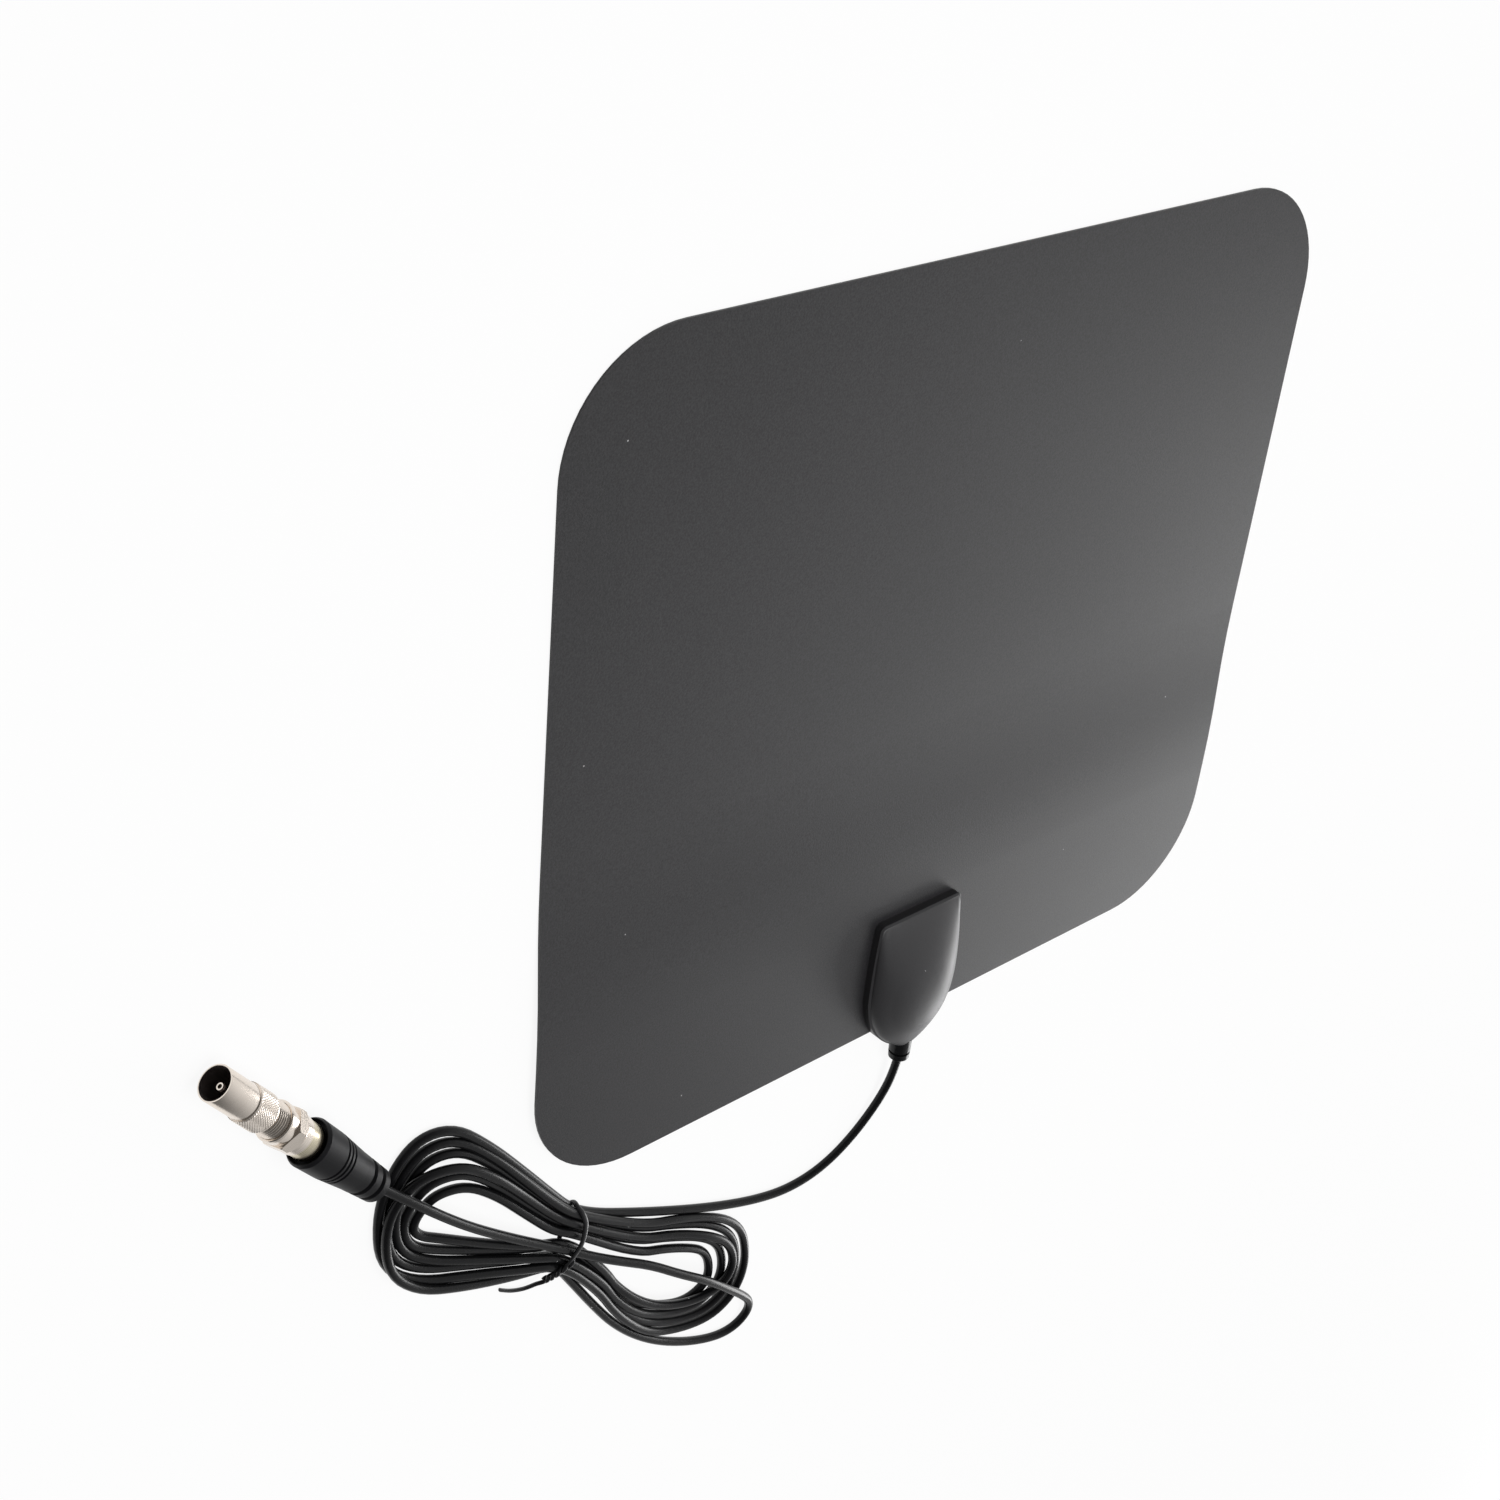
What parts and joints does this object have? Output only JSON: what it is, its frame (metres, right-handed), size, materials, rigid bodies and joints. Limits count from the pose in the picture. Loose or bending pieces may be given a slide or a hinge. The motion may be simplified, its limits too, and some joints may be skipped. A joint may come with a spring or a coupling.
{
  "type": "tv antenna",
  "caption": "Thin flat indoor television antenna sheet with a clamped feed housing and a tied coaxial cord that ends in a screw-on plug with a push-on adapter.",
  "frame": {"origin": "middle of the sheet's back face, in the plane of the surface that the antenna lies on", "axes": "+X along the sheet's width, +Y up the sheet away from the housing, +Z out of the sheet's front face"},
  "size_m": [0.3795, 0.3531, 0.0139],
  "materials": {
    "sheet": "fine matte grain",
    "foil": "plain rolled foil",
    "housing": "satin",
    "board": "coated board",
    "contact": "plain",
    "ferrite": "sintered, dull",
    "jacket": "semi-gloss",
    "tie": "semi-gloss",
    "boot": "matte",
    "collar": "thinly plated",
    "dielectric": "plain",
    "nickel": "nickel plated",
    "bush": "plain"
  },
  "bodies": {
    "antenna": {"back_film": "sheet", "front_film": "sheet", "antenna_foil": "foil", "housing_front": "housing", "housing_back": "housing", "feed_board": "board", "feed_rivets": "contact", "balun_core": "ferrite", "cable_tail": "jacket", "strain_relief": "jacket", "cable_lead": "jacket", "cord_hank": "jacket", "plug_lead": "jacket", "twist_tie": "tie", "plug_boot": "boot", "plug_body": "collar", "plug_dielectric": "dielectric", "plug_wire": "contact"},
    "nut": {"coupling_nut": "nickel"},
    "adapter": {"adapter_body": "nickel", "adapter_bush": "bush", "adapter_pin": "nickel"}
  },
  "joints": [
    {"name": "nut_turn", "type": "hinge", "parent": "antenna", "child": "nut", "pos_m": [-0.2178, -0.05482, 0.0066], "axis": [0.6198, -0.7848, 0], "range_deg": [0, 2163]},
    {"name": "adapter_travel", "type": "slide", "parent": "antenna", "child": "adapter", "axis": [-0.6198, 0.7848, 0], "range_m": [0, 0.00476]}
  ],
  "couplings": [
    {"joint": "nut_turn", "follows": "adapter_travel", "rad_per_m": 7915.8}
  ]
}
